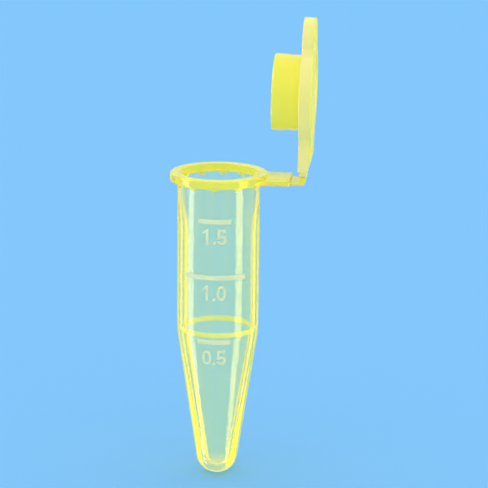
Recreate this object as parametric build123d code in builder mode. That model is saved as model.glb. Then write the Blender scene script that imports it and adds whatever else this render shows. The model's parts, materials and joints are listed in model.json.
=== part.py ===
from build123d import *
from math import acos, atan2, cos, hypot, radians, sin
import os

# Microcentrifuge tube, 1.5 mL, with an attached snap lid standing open. Millimetres.
# Frame: origin at the centre of the mouth, on the rim's top plane. +Z is up along the
# tube, +X points to the hinge, and the graduations are on the front, which is -Y.

# tube, outside
BARREL_R = 5.35
BARREL_STRAIGHT_Z = -16.6      # below this the barrel drafts in to the kink
KINK_R = 5.3
KINK_Z = -21.4                 # where the barrel turns into the cone
TIP_R = 2.7
TIP_Z = -40.9
# tube, inside
MOUTH_R = 5.0                  # the wider mouth that the lid's plug seals in
MOUTH_DEPTH = 3.9
BORE_R = 4.5
BORE_TOP_Z = -6.0
BORE_BOTTOM_Z = -20.9
FLOOR_Z = -39.75
INNER_TIP_R = 1.6
# collar
COLLAR_R = 6.35
COLLAR_THICKNESS = 1.1
COLLAR_EDGE_R = 0.3
NECK_TOP_R = 5.4               # the collar's root, which tapers in to the barrel
NECK_Z = -1.7
LUG_COUNT = 12
LUG_WIDTH = 1.5
LUG_DROP = 0.55
LUG_DEPTH = 0.45
LUG_ROOT = 0.2                 # how far each lug reaches into the neck's wall
# raised marks on the front
RELIEF = 0.12
RELIEF_DRAFT = 0.01            # the marks stand out this much less at the collar
LINE_THICKNESS = 0.6
DIGIT_WIDTH = 1.2
DIGIT_HEIGHT = 2.0
DIGIT_STROKE = 0.3
DIGIT_PITCH = 0.95             # from the decimal point to the middle of each digit
# name of the mark, what it reads, width of its line, height of the line and of the numeral
MARKS = [
    ("1_5", "1.5", 4.3, -5.5, -7.5),
    ("1_0", "1.0", 7.7, -12.95, -15.0),
    ("0_5", "0.5", 4.3, -21.6, -23.75),
]
# hinge: a thin web between the tube's strap and the lid's strap
HINGE_X = 10.5
HINGE_Z = 0.15
OPEN_ANGLE = 91.2              # how far the lid stands open from closed
STRAP_WIDTH = 6.2
STRAP_CORNER_R = 0.4
TUBE_STRAP_TOP_Z = -0.5
TUBE_STRAP_END_X = 9.4
WEB_WIDTH = 4.6
WEB_THICKNESS = 0.26
WEB_BEND_X = 10.34             # where the web's underside starts to turn up
# lid, in its own plane: X from the hinge to the thumb tab, Z away from the tube
LID_UNDERSIDE = 0.05 - HINGE_Z   # closed, the lid hovers 0.05 above the rim
LID_R = 6.4
LID_THICKNESS = 1.65
LID_EDGE_R = 0.3
LID_RECESS_R = 5.0
LID_RECESS_DEPTH = 0.15
TAB_END = 20.3
TAB_WIDTH = 6.3
TAB_THICKNESS = 1.6
TAB_CORNER_R = 3.1             # a full round end
LID_STRAP_START = 0.65
LID_STRAP_START_THICKNESS = 1.27
LID_STRAP_FULL = 2.3           # where the strap has risen to the lid's thickness
TONGUE_START = -0.15
TONGUE_BOTTOM = 0.09
TONGUE_TOP = 0.93
# plug
PLUG_LENGTH = 3.6
PLUG_ROOT_R = 4.85
PLUG_TIP_R = 4.45
PLUG_WALL = 0.65
PLUG_POCKET_DEPTH = 0.7        # the hollow goes this far into the lid plate
BEAD_R = 4.97
BEAD_TOP = 2.4                 # depths below the lid's underside
BEAD_BOTTOM = 3.5

os.makedirs("parts", exist_ok=True)


def finish(builder, name):
    """Labels the finished piece and writes its STEP file."""
    builder.part.label = name
    export_step(builder.part, f"parts/{name}.step")


def tangent_point(start_r, start_z, ball_r, ball_z):
    """Where a cone's side, coming down from the start, meets its rounded tip."""
    reach = hypot(start_r, start_z - ball_z)
    angle = atan2(start_z - ball_z, start_r) - acos(ball_r / reach)
    return (ball_r * cos(angle), ball_z + ball_r * sin(angle))


def draw_cone(top_r, top_z, ball_r, tip_z):
    """The side of a cone and its round tip, down to the axis."""
    meets = tangent_point(top_r, top_z, ball_r, tip_z + ball_r)
    Line((top_r, top_z), meets)
    TangentArc(meets, (0, tip_z), tangent=(meets[0] - top_r, meets[1] - top_z))


# ---------------------------------------------------------------- the inner space
with BuildPart() as cavity:
    with BuildSketch(Plane.XZ):
        with BuildLine():
            Polyline(
                (0, FLOOR_Z),
                (0, 0),
                (MOUTH_R, 0),
                (MOUTH_R, -MOUTH_DEPTH),
                (BORE_R, BORE_TOP_Z),
                (BORE_R, BORE_BOTTOM_Z),
            )
            draw_cone(BORE_R, BORE_BOTTOM_Z, INNER_TIP_R, FLOOR_Z)
        make_face()
    revolve(axis=Axis.Z)

# ---------------------------------------------------------------- tube walls
with BuildPart() as tube_barrel:
    with BuildSketch(Plane.XZ):
        with BuildLine():
            Polyline(
                (0, NECK_Z),
                (BARREL_R, NECK_Z),
                (BARREL_R, BARREL_STRAIGHT_Z),
                (KINK_R, KINK_Z),
                (0, KINK_Z),
                close=True,
            )
        make_face()
    revolve(axis=Axis.Z)
    add(cavity.part, mode=Mode.SUBTRACT)
finish(tube_barrel, "tube_barrel")

with BuildPart() as tube_cone:
    with BuildSketch(Plane.XZ):
        with BuildLine():
            Polyline((0, TIP_Z), (0, KINK_Z), (KINK_R, KINK_Z))
            draw_cone(KINK_R, KINK_Z, TIP_R, TIP_Z)
        make_face()
    revolve(axis=Axis.Z)
    add(cavity.part, mode=Mode.SUBTRACT)
finish(tube_cone, "tube_cone")

# ---------------------------------------------------------------- collar and its lugs
# one small V-shaped gusset under the collar, on the front
with BuildPart() as front_lug:
    with BuildSketch(Plane.XZ.offset(BARREL_R + LUG_DEPTH)):
        with BuildLine():
            Polyline(
                (-LUG_WIDTH / 2, -COLLAR_THICKNESS),
                (0, -COLLAR_THICKNESS - LUG_DROP),
                (LUG_WIDTH / 2, -COLLAR_THICKNESS),
                close=True,
            )
        make_face()
    extrude(amount=-LUG_DEPTH - LUG_ROOT)

with BuildPart() as collar:
    with BuildSketch(Plane.XZ):
        with BuildLine():
            Polyline(
                (MOUTH_R, 0),
                (COLLAR_R, 0),
                (COLLAR_R, -COLLAR_THICKNESS),
                (NECK_TOP_R, -COLLAR_THICKNESS),
                (BARREL_R, NECK_Z),
                (MOUTH_R, NECK_Z),
                close=True,
            )
        make_face()
    revolve(axis=Axis.Z)
    rim = collar.edges().group_by(Axis.Z)[-1].sort_by(SortBy.LENGTH)[-1]
    fillet(rim, radius=COLLAR_EDGE_R)
    with PolarLocations(0, LUG_COUNT):
        add(front_lug.part)
finish(collar, "collar")


# ---------------------------------------------------------------- graduations
def draw_zero():
    Ellipse(DIGIT_WIDTH / 2, DIGIT_HEIGHT / 2)
    Ellipse(DIGIT_WIDTH / 2 - DIGIT_STROKE, DIGIT_HEIGHT / 2 - DIGIT_STROKE, mode=Mode.SUBTRACT)


def draw_one():
    Rectangle(DIGIT_STROKE, DIGIT_HEIGHT)
    Polygon(
        (-DIGIT_STROKE / 2, DIGIT_HEIGHT / 2),
        (-DIGIT_WIDTH / 2, DIGIT_HEIGHT / 2 - 1.6 * DIGIT_STROKE),
        (-DIGIT_WIDTH / 2, DIGIT_HEIGHT / 2 - 2.4 * DIGIT_STROKE),
        (-DIGIT_STROKE / 2, DIGIT_HEIGHT / 2 - 1.2 * DIGIT_STROKE),
        align=None,
    )


def draw_five():
    bowl_y = (DIGIT_WIDTH - DIGIT_HEIGHT) / 2
    with Locations((0, bowl_y)):
        Circle(DIGIT_WIDTH / 2)
        Circle(DIGIT_WIDTH / 2 - DIGIT_STROKE, mode=Mode.SUBTRACT)
    # the bowl is open on its left
    with Locations((-DIGIT_WIDTH / 2, bowl_y)):
        Rectangle(DIGIT_WIDTH, DIGIT_STROKE, mode=Mode.SUBTRACT)
    # the stem and the top bar, from their shared corner
    with Locations((DIGIT_STROKE / 4 - DIGIT_WIDTH / 2, DIGIT_HEIGHT / 2)):
        Rectangle(
            DIGIT_STROKE,
            DIGIT_HEIGHT / 2 - bowl_y - DIGIT_STROKE / 2,
            align=(Align.MIN, Align.MAX),
        )
        Rectangle(DIGIT_WIDTH - DIGIT_STROKE / 2, DIGIT_STROKE, align=(Align.MIN, Align.MAX))


DIGITS = {"0": draw_zero, "1": draw_one, "5": draw_five}


def draw_numeral(reads, height):
    """A number with one decimal, its decimal point on the tube's centre line."""
    with Locations((0, height - DIGIT_HEIGHT / 2 + DIGIT_STROKE / 2)):
        Rectangle(DIGIT_STROKE, DIGIT_STROKE)
    for side, digit in ((-1, reads[0]), (1, reads[2])):
        with Locations((side * DIGIT_PITCH, height)):
            DIGITS[digit]()


# a thin skin over the wall: a mark is what an extruded outline cuts out of it
cone_end = tangent_point(KINK_R, KINK_Z, TIP_R, TIP_Z + TIP_R)
with BuildPart() as skin:
    with BuildSketch(Plane.XZ):
        with BuildLine():
            Polyline(
                (BARREL_R, NECK_Z),
                (BARREL_R, BARREL_STRAIGHT_Z),
                (KINK_R, KINK_Z),
                cone_end,
                (cone_end[0] + RELIEF, cone_end[1]),
                (KINK_R + RELIEF, KINK_Z),
                (BARREL_R + RELIEF, BARREL_STRAIGHT_Z),
                (BARREL_R + RELIEF - RELIEF_DRAFT, NECK_Z),
                close=True,
            )
        make_face()
    revolve(axis=Axis.Z)

for mark, reads, line_width, line_z, numeral_z in MARKS:
    with BuildPart() as graduation_line:
        with BuildSketch(Plane.XZ):
            with Locations((0, line_z)):
                Rectangle(line_width, LINE_THICKNESS)
        extrude(amount=COLLAR_R)
        add(skin.part, mode=Mode.INTERSECT)
    finish(graduation_line, f"graduation_line_{mark}")

    with BuildPart() as numeral:
        with BuildSketch(Plane.XZ):
            draw_numeral(reads, numeral_z)
        extrude(amount=COLLAR_R)
        add(skin.part, mode=Mode.INTERSECT)
    finish(numeral, f"numeral_{mark}")

# ---------------------------------------------------------------- tube's strap
with BuildPart() as tube_strap:
    with BuildSketch(Plane.XY.offset(-COLLAR_THICKNESS)):
        with Locations((TUBE_STRAP_END_X, 0)):
            Rectangle(
                TUBE_STRAP_END_X - BARREL_R, STRAP_WIDTH, align=(Align.MAX, Align.CENTER)
            )
        Circle(COLLAR_R, mode=Mode.SUBTRACT)
    extrude(amount=COLLAR_THICKNESS + TUBE_STRAP_TOP_Z)
    outer_end = tube_strap.edges().filter_by(Axis.Z).group_by(Axis.X)[-1]
    fillet(outer_end, radius=STRAP_CORNER_R)
finish(tube_strap, "tube_strap")

# ---------------------------------------------------------------- lid
opened = radians(OPEN_ANGLE)
LID = Plane(
    origin=(HINGE_X, 0, HINGE_Z),
    x_dir=(-cos(opened), 0, sin(opened)),
    z_dir=(sin(opened), 0, cos(opened)),
)
LID_SIDE = Plane(origin=LID.origin, x_dir=LID.x_dir, z_dir=-LID.y_dir)
PLUG_SIDE = Plane(
    origin=LID.from_local_coords((HINGE_X, 0, LID_UNDERSIDE)),
    x_dir=LID.x_dir,
    z_dir=-LID.y_dir,
)
PLUG_AXIS = Axis(PLUG_SIDE.origin, LID.z_dir)
LID_TOP = LID_UNDERSIDE + LID_THICKNESS

with BuildPart() as lid_plate:
    with BuildSketch(LID.offset(LID_UNDERSIDE)):
        with Locations((HINGE_X, 0)):
            Circle(LID_R)
    extrude(amount=LID_THICKNESS)
    top_face = lid_plate.faces().sort_by(Axis(LID.origin, LID.z_dir))[-1]
    fillet(top_face.edges(), radius=LID_EDGE_R)
    # the shallow writing area on top
    with BuildSketch(LID.offset(LID_TOP)):
        with Locations((HINGE_X, 0)):
            Circle(LID_RECESS_R)
    extrude(amount=-LID_RECESS_DEPTH, mode=Mode.SUBTRACT)
    # the hollow of the plug goes on into the plate
    with BuildSketch(LID.offset(LID_UNDERSIDE)):
        with Locations((HINGE_X, 0)):
            Circle(PLUG_ROOT_R - PLUG_WALL)
    extrude(amount=PLUG_POCKET_DEPTH, mode=Mode.SUBTRACT)
finish(lid_plate, "lid_plate")

with BuildPart() as lid_tab:
    with BuildSketch(LID.offset(LID_UNDERSIDE)):
        with Locations((TAB_END, 0)):
            Rectangle(
                TAB_END - HINGE_X - LID_RECESS_R - LID_RECESS_DEPTH,
                TAB_WIDTH,
                align=(Align.MAX, Align.CENTER),
            )
    extrude(amount=TAB_THICKNESS)
    upright = lid_tab.edges().filter_by(Axis(LID.origin, LID.z_dir))
    corners = upright.group_by(Axis(LID.origin, LID.x_dir))[-1]
    fillet(corners, radius=TAB_CORNER_R)
    add(lid_plate.part, mode=Mode.SUBTRACT)
finish(lid_tab, "lid_tab")

with BuildPart() as lid_strap:
    with BuildSketch(LID_SIDE):
        with BuildLine():
            Polyline(
                (LID_STRAP_START, LID_UNDERSIDE),
                (LID_STRAP_START, LID_UNDERSIDE + LID_STRAP_START_THICKNESS),
                (LID_STRAP_FULL, LID_TOP),
                (HINGE_X - LID_RECESS_R - LID_RECESS_DEPTH, LID_TOP),
                (HINGE_X - LID_RECESS_R - LID_RECESS_DEPTH, LID_UNDERSIDE),
                close=True,
            )
        make_face()
    extrude(amount=STRAP_WIDTH / 2, both=True)
    with BuildSketch(LID_SIDE):
        with BuildLine():
            Polyline(
                (TONGUE_START, TONGUE_BOTTOM),
                (TONGUE_START, TONGUE_TOP),
                (LID_STRAP_START, LID_UNDERSIDE + LID_STRAP_START_THICKNESS),
                (LID_STRAP_START, TONGUE_BOTTOM),
                close=True,
            )
        make_face()
    extrude(amount=WEB_WIDTH / 2, both=True)
    add(lid_plate.part, mode=Mode.SUBTRACT)
finish(lid_strap, "lid_strap")

# ---------------------------------------------------------------- living hinge
# From the end of the tube's strap, flat and then round the bend up to the lid's tongue.
web_inner = LID.from_local_coords((TONGUE_START, 0, TONGUE_BOTTOM))
web_outer = LID.from_local_coords((TONGUE_START, 0, TONGUE_TOP))
web_top_z = -COLLAR_THICKNESS + WEB_THICKNESS
with BuildPart() as living_hinge:
    with BuildSketch(Plane.XZ):
        with BuildLine():
            Polyline(
                (WEB_BEND_X, -COLLAR_THICKNESS),
                (TUBE_STRAP_END_X, -COLLAR_THICKNESS),
                (TUBE_STRAP_END_X, web_top_z),
                (web_inner.X, web_top_z),
                (web_inner.X, web_inner.Z),
                (web_outer.X, web_outer.Z),
            )
            TangentArc(
                (WEB_BEND_X, -COLLAR_THICKNESS),
                (web_outer.X, web_outer.Z),
                tangent=(1, 0),
            )
        make_face()
    extrude(amount=WEB_WIDTH / 2, both=True)
finish(living_hinge, "living_hinge")

# ---------------------------------------------------------------- plug and its seal
def plug_radius(depth):
    return PLUG_ROOT_R + (PLUG_TIP_R - PLUG_ROOT_R) * depth / PLUG_LENGTH


with BuildPart() as lid_plug:
    with BuildSketch(PLUG_SIDE):
        with BuildLine():
            Polyline(
                (PLUG_ROOT_R - PLUG_WALL, 0),
                (PLUG_ROOT_R, 0),
                (PLUG_TIP_R, -PLUG_LENGTH),
                (PLUG_TIP_R - PLUG_WALL, -PLUG_LENGTH),
                close=True,
            )
        make_face()
    revolve(axis=PLUG_AXIS)
finish(lid_plug, "lid_plug")

with BuildPart() as plug_seal_bead:
    with BuildSketch(PLUG_SIDE):
        with BuildLine():
            bead_top = (plug_radius(BEAD_TOP), -BEAD_TOP)
            bead_bottom = (plug_radius(BEAD_BOTTOM), -BEAD_BOTTOM)
            ThreePointArc(bead_top, (BEAD_R, -(BEAD_TOP + BEAD_BOTTOM) / 2), bead_bottom)
            Line(bead_bottom, bead_top)
        make_face()
    revolve(axis=PLUG_AXIS)
finish(plug_seal_bead, "plug_seal_bead")
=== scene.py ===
import json
import math

import bmesh
import bpy
from mathutils import Matrix, Vector


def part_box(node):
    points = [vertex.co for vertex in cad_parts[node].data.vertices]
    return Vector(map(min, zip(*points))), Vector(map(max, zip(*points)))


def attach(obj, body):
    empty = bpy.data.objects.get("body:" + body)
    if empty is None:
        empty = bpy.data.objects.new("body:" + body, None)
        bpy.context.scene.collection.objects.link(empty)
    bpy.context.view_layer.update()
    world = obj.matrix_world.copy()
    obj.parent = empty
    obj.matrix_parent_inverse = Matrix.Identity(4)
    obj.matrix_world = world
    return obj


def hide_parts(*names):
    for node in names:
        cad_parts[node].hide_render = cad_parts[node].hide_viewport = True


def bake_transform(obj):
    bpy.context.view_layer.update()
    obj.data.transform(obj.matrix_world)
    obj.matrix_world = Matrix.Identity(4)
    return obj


# Microcentrifuge tube with its lid open. Metres in the row frame; the profiles below are
# in millimetres and are scaled as each mesh is made.
MM = 0.001

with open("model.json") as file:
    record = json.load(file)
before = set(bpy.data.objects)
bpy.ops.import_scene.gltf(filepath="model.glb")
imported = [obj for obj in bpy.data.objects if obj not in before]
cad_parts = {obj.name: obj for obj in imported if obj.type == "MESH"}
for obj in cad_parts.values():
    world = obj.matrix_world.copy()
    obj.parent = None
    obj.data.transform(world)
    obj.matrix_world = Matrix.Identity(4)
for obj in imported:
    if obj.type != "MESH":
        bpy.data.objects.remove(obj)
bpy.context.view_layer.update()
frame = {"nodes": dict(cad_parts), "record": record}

joint = frame["record"]["behaviour"]["joints"][0]
hinge = Vector(joint["pos_m"])
scene = bpy.context.scene

# ------------------------------------------------------------------ sizes, mm
# These are read from the CAD, so that the shapes cannot drift from it.
barrel_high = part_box("tube_barrel")[1]
cone_low, cone_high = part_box("tube_cone")
collar_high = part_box("collar")[1]
strap_low, strap_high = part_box("tube_strap")

BARREL_R = barrel_high.x / MM
COLLAR_R = collar_high.x / MM
TIP_Z = cone_low.z / MM
KINK_Z = cone_high.z / MM
STRAP_END_X = strap_high.x / MM
STRAP_TOP_Z = strap_high.z / MM
STRAP_WIDTH = (strap_high.y - strap_low.y) / MM
COLLAR_BOTTOM_Z = strap_low.z / MM
OPEN_ANGLE = math.radians(-joint["range_deg"][0])
HINGE_X = hinge.x / MM
HINGE_Z = hinge.z / MM

# These repeat the design's own sizes. Heights are above the rim, so those of the tube are
# negative.
GAP = 0.005                    # between the wall and the raised marks on it
STRAIGHT_Z = -16.6             # where the barrel starts to narrow
KINK_R = 5.3                   # the outside where barrel and cone meet
TIP_R = 2.7
MOUTH_R = 5.0
MOUTH_DEPTH = 3.9
MOUTH_SPLIT_Z = -0.8           # where the path round the wall starts and ends
BORE_R = 4.5
BORE_TOP_Z = -7.2              # below the design's, as the step here is one long curve
BORE_BOTTOM_Z = -20.9
FLOOR_Z = -39.75
INNER_TIP_R = 1.6
NECK_R = 5.4
NECK_Z = -1.7
LUG_COUNT = 12
LUG_WIDTH = 1.5
LUG_DEPTH = 0.55
LUG_THICKNESS = 0.64
LUG_OUT = 0.13                 # from the barrel's wall to the middle of a lug
STRAP_ROOT_R = 5.75            # where the strap starts, inside the collar
STRAP_CORNER_R = 0.4
FLARE_R = 2.8                  # the strap's fillets against the collar, in plan

# The lid is drawn shut, with the hinge at the origin and the disc's middle at HINGE_X.
LID_UNDERSIDE = 0.05 - HINGE_Z
LID_R = 6.4
LID_THICKNESS = 1.65
LID_TOP = LID_UNDERSIDE + LID_THICKNESS
RECESS_R = 5.0
RECESS_DEPTH = 0.15
LID_FLARE_R = 2.0              # the fillets of the lid's tab and strap against its disc
TAB_ROOT = (15.3, 3.8)         # a corner of the tab inside the disc
TAB_END = 20.3
TAB_WIDTH = 6.3
TAB_THICKNESS = 1.6
TAB_CORNER_R = 3.1
LID_STRAP_START = 0.65         # from the hinge
LID_STRAP_START_THICKNESS = 1.27
LID_STRAP_FULL = 2.3           # from here on it is as thick as the disc
LID_STRAP_ROOT = (5.4, 3.3)    # a corner of the strap inside the disc
LID_FLARE_START = (3.0, 0.02)  # on the strap: from the hinge, and in from its side
TONGUE_END = -0.15             # the thin tongue reaches just past the hinge
TONGUE_BOTTOM = 0.09
TONGUE_TOP = (0.93, 1.19)      # at its end and at its root
TONGUE_ROOT = 0.75
PLUG_LENGTH = 3.6
PLUG_ROOT_R = 4.87
PLUG_WAIST_R = 4.86
PLUG_LIP_R = 4.95
PLUG_INNER_R = (4.2, 4.15)     # at its end and at its root
PLUG_POCKET = 0.7              # the hollow's depth into the disc
WEB_WIDTH = 4.6
WEB_THICKNESS = 0.26
WEB_OUTER_R = 1.05             # of the bend, while the lid stands open
WEB_INNER_R = 0.25

# mesh density
RINGS = 192                    # steps round a turned shape
LONGEST_STEP = 0.6             # along a turned profile
BEVEL_STEPS = 3
SHARP_ANGLE = math.radians(30)
WEB_STEPS, WEB_ACROSS = 28, 12
STAGE_RINGS = 96
OVERLAP = 0.003                # keeps the faces of joined shapes out of one plane


# ------------------------------------------------------------------ mesh tools
def corner(points, steps=6):
    """A path in the plane through (a, b, radius) points, each corner rounded."""
    path = []
    for i, (a, b, radius) in enumerate(points):
        here = Vector((a, b))
        if not radius or i in (0, len(points) - 1):
            path.append(here)
            continue
        before = Vector(points[i - 1][:2]) - here
        after = Vector(points[i + 1][:2]) - here
        turn = before.angle(after)
        cut = min(radius / math.tan(turn / 2), before.length * 0.49, after.length * 0.49)
        start, end = here + before.normalized() * cut, here + after.normalized() * cut
        for k in range(steps + 1):
            t = k / steps
            path.append((1 - t) ** 2 * start + 2 * t * (1 - t) * here + t * t * end)
    return path


def ball_end(top_r, top_z, ball_r, tip_z, steps=14):
    """The side of a cone from its top, then its round tip down to the axis."""
    centre_z = tip_z + ball_r
    reach = math.hypot(top_r, top_z - centre_z)
    start = math.atan2(top_z - centre_z, top_r) - math.acos(ball_r / reach)
    turns = [start + (-math.pi / 2 - start) * k / steps for k in range(steps + 1)]
    return [(ball_r * math.cos(t), centre_z + ball_r * math.sin(t)) for t in turns]


def subdivide(path, longest):
    """The same path with no step longer than this."""
    out = [path[0]]
    for a, b in zip(path, path[1:]):
        a, b = Vector(a), Vector(b)
        n = max(1, math.ceil((b - a).length / longest))
        out += [a.lerp(b, k / n) for k in range(1, n + 1)]
    return out


def lathe(name, path):
    """A closed mesh turned round Z from a path of (r, z) from axis to axis."""
    bm = bmesh.new()
    rows = []
    for r, z in path:
        if r < 1e-6:
            rows.append([bm.verts.new((0, 0, z))])
        else:
            rows.append([
                bm.verts.new((r * math.cos(2 * math.pi * k / RINGS),
                              r * math.sin(2 * math.pi * k / RINGS), z))
                for k in range(RINGS)
            ])
    for a, b in zip(rows, rows[1:]):
        for k in range(RINGS):
            n = (k + 1) % RINGS
            ring = [a[k % len(a)], a[n % len(a)], b[n % len(b)], b[k % len(b)]]
            face = list(dict.fromkeys(ring))
            if len(face) > 2:
                bm.faces.new(face)
    bmesh.ops.recalc_face_normals(bm, faces=bm.faces)
    return to_object(name, bm)


def to_object(name, bm):
    """Puts a finished bmesh into the scene."""
    mesh = bpy.data.meshes.new(name)
    bm.to_mesh(mesh)
    bm.free()
    obj = bpy.data.objects.new(name, mesh)
    scene.collection.objects.link(obj)
    return obj


def prism(name, outline, width, bevel):
    """An outline in X and Z, this wide in Y, with rounded edges."""
    bm = bmesh.new()
    front = [bm.verts.new((x, -width / 2, z)) for x, z in outline]
    back = [bm.verts.new((x, width / 2, z)) for x, z in outline]
    bm.faces.new(front)
    bm.faces.new(back[::-1])
    for k in range(len(outline)):
        n = (k + 1) % len(outline)
        bm.faces.new((front[k], back[k], back[n], front[n]))
    bmesh.ops.recalc_face_normals(bm, faces=bm.faces)
    sharp = [e for e in bm.edges if e.calc_face_angle(0) > math.radians(25)]
    bmesh.ops.bevel(bm, geom=sharp, offset=bevel, segments=BEVEL_STEPS, profile=0.5,
                    affect="EDGES", clamp_overlap=True)
    return to_object(name, bm)


def slab(name, outline, low, high, bevel):
    """An outline in X and Y, from low to high in Z, its upper and lower edges rounded."""
    bm = bmesh.new()
    bottom = [bm.verts.new((x, y, low)) for x, y in outline]
    top = [bm.verts.new((x, y, high)) for x, y in outline]
    bm.faces.new(bottom[::-1])
    bm.faces.new(top)
    for k in range(len(outline)):
        n = (k + 1) % len(outline)
        bm.faces.new((bottom[k], bottom[n], top[n], top[k]))
    bmesh.ops.recalc_face_normals(bm, faces=bm.faces)
    flat = [e for e in bm.edges
            if e.calc_face_angle(0) > math.radians(50)
            and abs(e.verts[0].co.z - e.verts[1].co.z) < 1e-6]
    bmesh.ops.bevel(bm, geom=flat, offset=bevel, segments=BEVEL_STEPS, profile=0.5,
                    affect="EDGES", clamp_overlap=True)
    return to_object(name, bm)


def fillet(disc_r, half, radius, steps=8):
    """The fillet, in plan, from a disc about the origin to the side of an arm along X."""
    x = math.sqrt((disc_r + radius) ** 2 - (half + radius) ** 2)
    turns = [k / steps * math.atan2(x, half + radius) for k in range(steps, -1, -1)]
    return [(x - radius * math.sin(t), half + radius - radius * math.cos(t)) for t in turns]


def merge(body, others):
    """Joins the other closed meshes into the body as one solid, and removes them."""
    for other in others:
        union = body.modifiers.new("union", "BOOLEAN")
        union.operation = "UNION"
        union.solver = "EXACT"
        union.object = other
    depsgraph = bpy.context.evaluated_depsgraph_get()
    depsgraph.update()
    mesh = bpy.data.meshes.new_from_object(body.evaluated_get(depsgraph))
    body.modifiers.clear()
    body.data = mesh
    for other in others:
        bpy.data.objects.remove(other)


def settle(obj, matrix=None):
    """Scales a mesh from millimetres, puts it in place and shades it smooth."""
    if matrix is not None:
        obj.data.transform(matrix)
    obj.data.transform(Matrix.Scale(MM, 4))
    for face in obj.data.polygons:
        face.use_smooth = True
    obj.data.set_sharp_from_angle(angle=SHARP_ANGLE)
    return obj


# ------------------------------------------------------------------ node tools
def node(tree, kind, inputs=(), **settings):
    """Adds a node, sets its properties, then its inputs by name or number."""
    new = tree.nodes.new(kind)
    for key, value in settings.items():
        setattr(new, key, value)
    for key, value in dict(inputs).items():
        socket = new.inputs[key]
        if isinstance(value, bpy.types.NodeSocket):
            tree.links.new(value, socket)
        else:
            socket.default_value = value
    return new


def math_node(tree, operation, a, b=0.0):
    return node(tree, "ShaderNodeMath", {0: a, 1: b}, operation=operation).outputs[0]


def mix_colours(tree, factor, a, b):
    """a where the factor is 0 and b where it is 1."""
    return node(tree, "ShaderNodeMix", {"Factor": factor, "A": a, "B": b},
                data_type="RGBA").outputs[2]


def smooth_range(tree, value, low, high):
    """0 at low and 1 at high, smooth in between and level outside."""
    return node(tree, "ShaderNodeMapRange",
                {"Value": value, "From Min": low, "From Max": high},
                interpolation_type="SMOOTHSTEP").outputs["Result"]


def in_mm(tree, place):
    """The coordinates of a place on the object, in millimetres."""
    at = node(tree, "ShaderNodeSeparateXYZ", {0: place}).outputs
    return [math_node(tree, "DIVIDE", at[axis], MM) for axis in "XYZ"]


# The zones of the materials, in mm: each pair is where a zone fades in.
MOUTH_FROM_Z = (-8.5, -4.0)
FLANGE_FROM_R = (5.37, 5.55)
FLANGE_FROM_Z = (-1.9, -1.2)
RIM_FROM_Z = (-1.15, -0.95)
LIP_FROM_Z = (-0.16, -0.04)
RING_FROM_HEIGHT = (0.42, 0.28)
RING_FROM_R = (5.0, 4.7)
RING_SHARE = 0.8
TIP_FROM_Z = (-38.6, -40.3)
TIP_SHARE = 0.5
PLUG_FADE = 0.1                # each way from the disc's underside
# Where the painted glow at the top of the lid's disc fades in, below its top: a deeper yellow
# standing in for light carried through the plastic.
PAINTED_GLOW_BELOW_TOP = (0.35, 0.1)


def wall_zones(tree, place):
    """Where the tube's plastic is thick or scored, and so cloudy: the rim with collar and
    strap, its lip, the ring at the foot of the bore, and the tip; and the thin wall of the
    mouth."""
    x, y, z = in_mm(tree, place)
    r = math_node(tree, "POWER", math_node(
        tree, "ADD", math_node(tree, "POWER", x, 2.0), math_node(tree, "POWER", y, 2.0)), 0.5)
    flange = math_node(tree, "MULTIPLY", smooth_range(tree, r, *FLANGE_FROM_R),
                       smooth_range(tree, z, *FLANGE_FROM_Z))
    rim = math_node(tree, "MAXIMUM", flange, smooth_range(tree, z, *RIM_FROM_Z))
    lip = smooth_range(tree, z, *LIP_FROM_Z)
    off_ring = math_node(tree, "ABSOLUTE", math_node(tree, "SUBTRACT", z, BORE_BOTTOM_Z))
    ring = math_node(tree, "MULTIPLY", smooth_range(tree, off_ring, *RING_FROM_HEIGHT),
                     smooth_range(tree, r, *RING_FROM_R))
    ring = math_node(tree, "MULTIPLY", ring, RING_SHARE)
    tip = math_node(tree, "MULTIPLY", smooth_range(tree, z, *TIP_FROM_Z), TIP_SHARE)
    mouth = smooth_range(tree, z, *MOUTH_FROM_Z)
    return {"mouth": mouth, "rim": rim, "lip": lip, "ring": ring, "tip": tip}


def lid_zones(tree, place):
    """The plug, which is denser in colour, and a painted glow: a deeper yellow at the top of
    the lid's disc that stands in for the light which the translucent plastic carries to its
    rim. The height is along the open lid's own axis."""
    x, _, z = in_mm(tree, place)
    lean = math.cos(OPEN_ANGLE) / math.sin(OPEN_ANGLE)
    height = math_node(tree, "ADD", x, math_node(tree, "MULTIPLY", z, lean))
    underside, top = HINGE_X + LID_UNDERSIDE, HINGE_X + LID_TOP
    plug = smooth_range(tree, height, underside + PLUG_FADE, underside - PLUG_FADE)
    # Painted glow: the top of the disc is coloured deeper yellow for the light that the
    # translucent plastic carries there.
    painted_edge_glow = smooth_range(tree, height, *(top - below for below in PAINTED_GLOW_BELOW_TOP))
    return {"plug": plug, "painted_edge_glow": painted_edge_glow}


CLOUD_SCALE, CLOUD_DETAIL, CLOUD_RANGE = 220.0, 3.0, (0.3, 0.7)
RIPPLE_SCALE, RIPPLE_DETAIL, RIPPLE_HEIGHT = 420.0, 1.0, 0.0004


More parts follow.
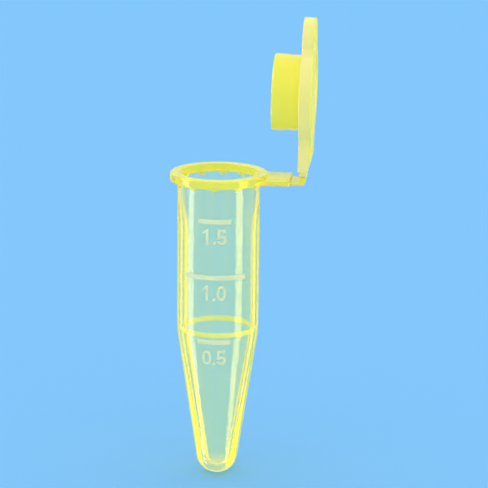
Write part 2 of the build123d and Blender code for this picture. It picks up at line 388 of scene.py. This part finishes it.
def plastic(name, colours, settings, roughness, ripple, absorbs=None, zones=None,
            zone_looks=None):
    """A moulded polypropylene: a cloudy colour between two, a little uneven gloss and a
    faint ripple, the colour that it takes out by depth, and zones that differ in colour and
    in how much passes through them."""
    material = bpy.data.materials.new(name)
    material.use_nodes = True
    tree = material.node_tree
    shader = tree.nodes["Principled BSDF"]
    for key, value in settings.items():
        shader.inputs[key].default_value = value
    place = node(tree, "ShaderNodeTexCoord").outputs["Object"]
    cloud = node(tree, "ShaderNodeTexNoise",
                 {"Vector": place, "Scale": CLOUD_SCALE,
                  "Detail": CLOUD_DETAIL}).outputs["Fac"]
    colour = mix_colours(tree, smooth_range(tree, cloud, *CLOUD_RANGE),
                         (*colours[0], 1), (*colours[1], 1))
    if zones:
        clear = settings["Transmission Weight"]
        masks = zones(tree, place)
        for zone, (zone_colour, zone_clear) in zone_looks.items():
            colour = mix_colours(tree, masks[zone], colour, (*zone_colour, 1))
            clear = node(tree, "ShaderNodeMapRange",
                         {"Value": masks[zone], "To Min": clear,
                          "To Max": zone_clear}).outputs[0]
        tree.links.new(clear, shader.inputs["Transmission Weight"])
    tree.links.new(colour, shader.inputs["Base Color"])
    gloss = node(tree, "ShaderNodeMapRange",
                 {"Value": cloud, "From Min": CLOUD_RANGE[0], "From Max": CLOUD_RANGE[1],
                  "To Min": roughness[0], "To Max": roughness[1]})
    tree.links.new(gloss.outputs[0], shader.inputs["Roughness"])
    ripples = node(tree, "ShaderNodeTexNoise",
                   {"Vector": place, "Scale": RIPPLE_SCALE,
                    "Detail": RIPPLE_DETAIL}).outputs["Fac"]
    bump = node(tree, "ShaderNodeBump",
                {"Height": ripples, "Strength": ripple, "Distance": RIPPLE_HEIGHT})
    tree.links.new(bump.outputs[0], shader.inputs["Normal"])
    if absorbs:
        passes, density = absorbs
        volume = node(tree, "ShaderNodeVolumeAbsorption",
                      {"Color": (*passes, 1), "Density": density})
        output = tree.nodes["Material Output"]
        tree.links.new(volume.outputs[0], output.inputs["Volume"])
    return material


# A low index bends the view through the wall only a little; the coat keeps the gloss of
# polypropylene. A zone's look is its colour and how much passes through it.
wall_material = plastic(
    "tinted_wall", [(0.975, 0.985, 0.89), (0.985, 0.99, 0.91)],
    {"IOR": 1.15, "Transmission Weight": 0.966, "Coat Weight": 0.2, "Coat IOR": 1.49,
     "Coat Roughness": 0.09, "Sheen Weight": 1.0, "Sheen Roughness": 0.25,
     "Sheen Tint": (1.0, 0.93, 0.1, 1)},
    roughness=(0.12, 0.16), absorbs=((1.0, 0.98, 0.02), 200.0), ripple=0.004,
    zones=wall_zones,
    zone_looks={"mouth": ((0.965, 0.975, 0.82), 0.955), "rim": ((0.94, 0.91, 0.15), 0.42),
                "lip": ((0.95, 0.92, 0.18), 0.35), "ring": ((0.88, 0.91, 0.12), 0.25),
                "tip": ((0.96, 0.95, 0.66), 0.5)})
lid_material = plastic(
    "tinted_lid", [(0.97, 0.92, 0.31), (0.98, 0.93, 0.37)],
    {"IOR": 1.49, "Transmission Weight": 0.15, "Coat Weight": 0.05, "Coat IOR": 1.49,
     "Coat Roughness": 0.1, "Specular IOR Level": 0.2, "Sheen Weight": 0.4,
     "Sheen Roughness": 0.3, "Sheen Tint": (1.0, 0.95, 0.2, 1)},
    roughness=(0.28, 0.36), absorbs=((1.0, 0.98, 0.1), 150.0), ripple=0.004,
    zones=lid_zones,
    # The top band's look is a painted glow: deeper yellow for light carried through the
    # translucent disc, not a deeper colour of the plastic.
    zone_looks={"plug": ((0.97, 0.93, 0.11), 0.15), "painted_edge_glow": ((0.95, 0.94, 0.14), 0.15)})
mark_material = plastic(
    "frosted_mark", [(0.71, 0.82, 0.68), (0.78, 0.88, 0.75)],
    {"IOR": 1.3, "Transmission Weight": 0.35},
    roughness=(0.5, 0.6), ripple=0.1)

# ------------------------------------------------------------------ tube
outer_tip = ball_end(KINK_R - GAP, KINK_Z, TIP_R, TIP_Z)
outer = corner([
    (MOUTH_R, MOUTH_SPLIT_Z, 0),
    (MOUTH_R, 0, 0.15),
    (COLLAR_R, 0, 0.3),
    (COLLAR_R, COLLAR_BOTTOM_Z, 0.15),
    (NECK_R - GAP, COLLAR_BOTTOM_Z, 0.12),
    (BARREL_R - GAP, NECK_Z, 0.4),
    (BARREL_R - GAP, STRAIGHT_Z, 2.0),
    (KINK_R - GAP, KINK_Z, 0.8),
    (*outer_tip[0], 0),
])
outer += [Vector(p) for p in outer_tip[1:]]
inner_tip = ball_end(BORE_R, BORE_BOTTOM_Z, INNER_TIP_R, FLOOR_Z)
inner = corner([
    (MOUTH_R, MOUTH_SPLIT_Z, 0),
    (MOUTH_R, -MOUTH_DEPTH, 40.0),
    (BORE_R, BORE_TOP_Z, 30.0),
    (BORE_R, BORE_BOTTOM_Z, 0.8),
    (*inner_tip[0], 0),
])
inner += [Vector(p) for p in inner_tip[1:]]
shell = subdivide(outer[::-1], LONGEST_STEP)[:-1] + subdivide(inner, LONGEST_STEP)
for tip in (0, -1):            # both ends exactly on the axis
    shell[tip] = Vector((0, shell[tip].y))
tube = lathe("tube_wall", shell)

strap_side = STRAP_WIDTH / 2
flare = fillet(COLLAR_R, strap_side, FLARE_R)
spread = math.atan2(flare[0][1], flare[0][0])
root = [(STRAP_ROOT_R * math.cos(k / 4 * spread), -STRAP_ROOT_R * math.sin(k / 4 * spread))
        for k in range(-4, 5)]
strap_end = corner([
    (*flare[-1], 0),
    (STRAP_END_X, strap_side, STRAP_CORNER_R),
    (STRAP_END_X, -strap_side, STRAP_CORNER_R),
    (flare[-1][0], -strap_side, 0),
])
strap = slab("strap", root + [(x, -y) for x, y in flare[:-1]]
             + [tuple(p) for p in strap_end[::-1]] + flare[-2::-1],
             COLLAR_BOTTOM_Z + 0.004, STRAP_TOP_Z, 0.12)
lugs = []
for k in range(LUG_COUNT):
    lug = prism("lug", [
        (-LUG_WIDTH / 2, COLLAR_BOTTOM_Z + 0.1), (-LUG_WIDTH / 2, COLLAR_BOTTOM_Z),
        (0, COLLAR_BOTTOM_Z - LUG_DEPTH),
        (LUG_WIDTH / 2, COLLAR_BOTTOM_Z), (LUG_WIDTH / 2, COLLAR_BOTTOM_Z + 0.1),
    ], LUG_THICKNESS, 0.06)
    lug.data.transform(Matrix.Translation((0, -BARREL_R - LUG_OUT, 0)))
    lug.data.transform(Matrix.Rotation(2 * math.pi * k / LUG_COUNT, 4, "Z"))
    lugs.append(lug)
merge(tube, [strap, *lugs])
settle(tube)
tube.data.materials.clear()
tube.data.materials.append(wall_material)
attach(tube, "tube")
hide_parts("tube_barrel", "tube_cone", "collar", "tube_strap")

# ------------------------------------------------------------------ lid
lid_frame = Matrix((
    (-math.cos(OPEN_ANGLE), 0, math.sin(OPEN_ANGLE), HINGE_X),
    (0, -1, 0, 0),
    (math.sin(OPEN_ANGLE), 0, math.cos(OPEN_ANGLE), HINGE_Z),
    (0, 0, 0, 1),
))
plug_end = LID_UNDERSIDE - PLUG_LENGTH
plug = corner([
    (0, LID_TOP - RECESS_DEPTH, 0),
    (RECESS_R - 0.05, LID_TOP - RECESS_DEPTH, 0.1),
    (RECESS_R + 0.05, LID_TOP, 0.08),
    (LID_R, LID_TOP, 0.3),
    (LID_R, LID_UNDERSIDE, 0.15),
    (PLUG_ROOT_R, LID_UNDERSIDE, 0.12),
    (PLUG_WAIST_R, LID_UNDERSIDE - 1.4, 1.0),
    (PLUG_LIP_R, LID_UNDERSIDE - 2.4, 0.8),
    (PLUG_LIP_R, plug_end + 0.2, 0.1),
    (PLUG_ROOT_R, plug_end, 0.08),
    (PLUG_INNER_R[0], plug_end, 0.12),
    (PLUG_INNER_R[1], LID_UNDERSIDE + PLUG_POCKET, 0.35),
    (0, LID_UNDERSIDE + PLUG_POCKET, 0),
])
lid = lathe("lid", subdivide(plug, LONGEST_STEP))
lid.data.transform(Matrix.Translation((HINGE_X, 0, 0)))

tab_side = TAB_WIDTH / 2
round_end = [
    (TAB_END - TAB_CORNER_R + TAB_CORNER_R * math.cos(turn),
     side * (tab_side - TAB_CORNER_R + TAB_CORNER_R * math.sin(side * turn)))
    for side, turns in ((-1, range(-90, 1, 6)), (1, range(0, 91, 6)))
    for turn in (math.radians(t) for t in turns)
]
flare = [(HINGE_X + x, y) for x, y in fillet(LID_R, tab_side, LID_FLARE_R)]
tab = slab("tab", [
    (TAB_ROOT[0], -TAB_ROOT[1]), *((x, -y) for x, y in flare), *round_end,
    *flare[::-1], TAB_ROOT,
], LID_UNDERSIDE + 0.004, LID_UNDERSIDE + TAB_THICKNESS, 0.15)

flare = [(HINGE_X - x, y) for x, y in fillet(LID_R, strap_side, LID_FLARE_R)]
strap_root = slab("strap_root", [
    (LID_STRAP_ROOT[0], -LID_STRAP_ROOT[1]), *((x, -y) for x, y in flare),
    (LID_FLARE_START[0], -strap_side + LID_FLARE_START[1]),
    (LID_FLARE_START[0], strap_side - LID_FLARE_START[1]),
    *flare[::-1], LID_STRAP_ROOT,
], LID_UNDERSIDE + 2 * OVERLAP, LID_TOP - 2 * OVERLAP, 0.12)
lid_strap = prism("strap", [
    (LID_STRAP_START, LID_UNDERSIDE + OVERLAP),
    (LID_STRAP_START, LID_UNDERSIDE + LID_STRAP_START_THICKNESS),
    (LID_STRAP_FULL, LID_TOP - OVERLAP),
    (LID_STRAP_ROOT[0], LID_TOP - OVERLAP),
    (LID_STRAP_ROOT[0], LID_UNDERSIDE + OVERLAP),
], STRAP_WIDTH, 0.12)
tongue = prism("tongue", [
    (TONGUE_END, TONGUE_BOTTOM), (TONGUE_END, TONGUE_TOP[0]),
    (TONGUE_ROOT, TONGUE_TOP[1]), (TONGUE_ROOT, TONGUE_BOTTOM),
], WEB_WIDTH, 0.05)
merge(lid, [tab, strap_root, lid_strap, tongue])
settle(lid, lid_frame)
lid.data.materials.clear()
lid.data.materials.append(lid_material)
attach(lid, "lid")
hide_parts("lid_plate", "lid_tab", "lid_strap", "lid_plug", "plug_seal_bead")

# ------------------------------------------------------------------ living hinge
# Drawn for the open lid, from inside the tube's strap to inside the lid's tongue.
WEB_INTO_STRAP, WEB_INTO_TONGUE, WEB_INSET = 0.25, 0.12, 0.02
tongue_in = lid_frame @ Vector((TONGUE_END, 0, TONGUE_BOTTOM + WEB_INSET))
tongue_out = lid_frame @ Vector((TONGUE_END, 0, TONGUE_TOP[0] - WEB_INSET))
web_start_x = STRAP_END_X - WEB_INTO_STRAP
web_bottom_z = COLLAR_BOTTOM_Z + WEB_INSET
web_top_z = COLLAR_BOTTOM_Z + WEB_THICKNESS
web_low = corner([
    (web_start_x, web_bottom_z, 0),
    (tongue_out.x - WEB_INSET, web_bottom_z, WEB_OUTER_R),
    (tongue_out.x, tongue_out.z + WEB_INTO_TONGUE, 0),
], steps=12)
web_high = corner([
    (web_start_x, web_top_z, 0),
    (tongue_in.x, web_top_z, WEB_INNER_R),
    (tongue_in.x, tongue_in.z + WEB_INTO_TONGUE, 0),
], steps=12)


def along(path, count):
    """Points at even steps along a path."""
    steps = [(b - a).length for a, b in zip(path, path[1:])]
    total, out = sum(steps), []
    for k in range(count + 1):
        left = total * k / count
        for a, b, length in zip(path, path[1:], steps):
            if left <= length + 1e-9:
                out.append(a.lerp(b, min(left / length, 1) if length else 0))
                break
            left -= length
        else:
            out.append(path[-1])
    return out


bm = bmesh.new()
across = [WEB_WIDTH * (k / WEB_ACROSS - 0.5) for k in range(WEB_ACROSS + 1)]
loops = []
for low, high in zip(along(web_low, WEB_STEPS), along(web_high, WEB_STEPS)):
    loops.append([bm.verts.new((low.x, y, low.y)) for y in across]
                 + [bm.verts.new((high.x, y, high.y)) for y in across[::-1]])
for a, b in zip(loops, loops[1:]):
    for k in range(len(a)):
        n = (k + 1) % len(a)
        bm.faces.new((a[k], a[n], b[n], b[k]))
bm.faces.new(loops[0][::-1])
bm.faces.new(loops[-1])
bmesh.ops.recalc_face_normals(bm, faces=bm.faces)
web = settle(to_object("living_hinge_web", bm))
web.data.materials.append(wall_material)
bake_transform(web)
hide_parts("living_hinge")

# ------------------------------------------------------------------ raised marks
for name, obj in frame["nodes"].items():
    if name.startswith(("graduation_line", "numeral")):
        for used in obj.material_slots:
            used.material = mark_material

# ------------------------------------------------------------------ stage
# A round floor under the tip that sweeps up into a wall. Only the camera sees it: through
# the plastic the light tent shows instead.
FLOOR = cone_low.z
BACKDROP = (0.21, 0.525, 0.91)
FLAT_R, WALL_R, WALL_TOP, SWEEP_R, STAGE_STEP = 450.0, 1000.0, 1500.0, 400.0, 100.0
sweep = corner([
    (0, 0, 0), (FLAT_R, 0, 0), (WALL_R, 0, SWEEP_R), (WALL_R, WALL_TOP, 0),
], steps=24)
bm = bmesh.new()
rows = []
for r, z in subdivide(sweep, STAGE_STEP):
    count = 1 if r < 1e-6 else STAGE_RINGS
    rows.append([bm.verts.new((r * math.cos(2 * math.pi * k / STAGE_RINGS),
                               r * math.sin(2 * math.pi * k / STAGE_RINGS), z))
                 for k in range(count)])
for a, b in zip(rows, rows[1:]):
    for k in range(STAGE_RINGS):
        n = (k + 1) % STAGE_RINGS
        bm.faces.new(list(dict.fromkeys([a[k % len(a)], b[k], b[n], a[n % len(a)]])))
stage = settle(to_object("backdrop", bm))
stage.location.z = FLOOR
stage.visible_transmission = False
stage.visible_glossy = False
stage.visible_shadow = False
stage.visible_diffuse = False
paper = bpy.data.materials.new("backdrop_paper")
paper.use_nodes = True
shader = paper.node_tree.nodes["Principled BSDF"]
shader.inputs["Base Color"].default_value = (*BACKDROP, 1)
shader.inputs["Roughness"].default_value = 0.9
shader.inputs["Specular IOR Level"].default_value = 0.0
stage.data.materials.append(paper)

# ------------------------------------------------------------------ light
# A round light tent: blue paper with eight yellow panels between, a pale blue floor and a
# white roof. It gives the clear walls their bright edges and some of their yellow. From
# every 45 degrees round the object the paper is behind it, and halfway between a panel is.
TENT_BLUE = (0.231, 0.578, 1.0)
TENT_PANEL = (1.25, 1.02, 0.15)
TENT_FLOOR = (0.62, 0.79, 1.0)
TENT_ROOF = (1.0, 1.0, 1.0)
TENT_STRENGTH = 1.1
PANEL_COUNT = 8
PANEL_TURN = math.radians(2)
PANEL_EDGE = (-0.40, 0.0)      # of the wave round the tent: panel below, paper above
FLOOR_EDGE = (-0.50, -0.62)    # of the sine of the height
ROOF_EDGE = (0.15, 0.30)
world = bpy.data.worlds.new("light_tent")
world.use_nodes = True
scene.world = world
tree = world.node_tree
direction = node(tree, "ShaderNodeSeparateXYZ",
                 {0: node(tree, "ShaderNodeTexCoord").outputs["Generated"]})
azimuth = math_node(tree, "ARCTAN2", direction.outputs["X"],
                    math_node(tree, "MULTIPLY", direction.outputs["Y"], -1.0))
panels = math_node(tree, "COSINE", math_node(
    tree, "MULTIPLY", math_node(tree, "SUBTRACT", azimuth, PANEL_TURN), PANEL_COUNT))
tent = mix_colours(tree, smooth_range(tree, panels, *PANEL_EDGE),
                   (*TENT_PANEL, 1), (*TENT_BLUE, 1))
tent = mix_colours(tree, smooth_range(tree, direction.outputs["Z"], *FLOOR_EDGE),
                   tent, (*TENT_FLOOR, 1))
tent = mix_colours(tree, smooth_range(tree, direction.outputs["Z"], *ROOF_EDGE),
                   tent, (*TENT_ROOF, 1))
background = tree.nodes["Background"]
tree.links.new(tent, background.inputs["Color"])
background.inputs["Strength"].default_value = TENT_STRENGTH

# Two tall soft lamps, one warm white and one deep yellow, give the stripes of gloss.
LAMP_DISTANCE, LAMP_HEIGHT = 0.45, 1.3


def softbox(name, azimuth_deg, width, power, colour):
    """A soft light, level with the middle of the object and aimed at it. The azimuth is
    from the front, towards the hinge."""
    data = bpy.data.lights.new(name, "AREA")
    data.shape = "RECTANGLE"
    data.size, data.size_y = width, LAMP_HEIGHT
    data.energy = power
    data.color = colour
    lamp = bpy.data.objects.new(name, data)
    turn = math.radians(azimuth_deg)
    middle = Vector((0, 0, FLOOR / 2))
    lamp.location = middle + LAMP_DISTANCE * Vector((math.sin(turn), -math.cos(turn), 0))
    lamp.rotation_euler = (middle - lamp.location).to_track_quat("-Z", "Y").to_euler()
    lamp.visible_camera = False
    lamp.visible_diffuse = False
    lamp.visible_transmission = False
    scene.collection.objects.link(lamp)


softbox("softbox_left", -77, 0.15, 12.0, (1, 0.85, 0.5))
softbox("softbox_right", 66, 0.17, 18.0, (1, 0.72, 0.0))

# ------------------------------------------------------------------ camera
AZIMUTH, ELEVATION, ROLL = math.radians(5), math.radians(13.8), math.radians(0.57)
LENS, SENSOR = 200.0, 36.0
VIEW_WIDTH = 63.3766           # across the frame at the object, mm
AIM_RIGHT, AIM_UP = 3.25, -9.43  # from the middle of the mouth, mm
distance = VIEW_WIDTH * LENS / SENSOR * MM
right = Vector((math.cos(AZIMUTH), math.sin(AZIMUTH), 0))
back = Vector((math.sin(AZIMUTH) * math.cos(ELEVATION),
               -math.cos(AZIMUTH) * math.cos(ELEVATION), math.sin(ELEVATION)))
up = back.cross(right)
right, up = (right * math.cos(ROLL) + up * math.sin(ROLL),
             up * math.cos(ROLL) - right * math.sin(ROLL))
aim = (right * AIM_RIGHT + up * AIM_UP) * MM
camera_data = bpy.data.cameras.new("camera")
camera_data.lens = LENS
camera_data.sensor_width = SENSOR
camera_data.clip_start = 0.01
camera = bpy.data.objects.new("camera", camera_data)
place = aim + back * distance
camera.matrix_world = Matrix((
    (right.x, up.x, back.x, place.x),
    (right.y, up.y, back.y, place.y),
    (right.z, up.z, back.z, place.z),
    (0, 0, 0, 1),
))
scene.collection.objects.link(camera)
scene.camera = camera
scene.view_settings.view_transform = "Standard"
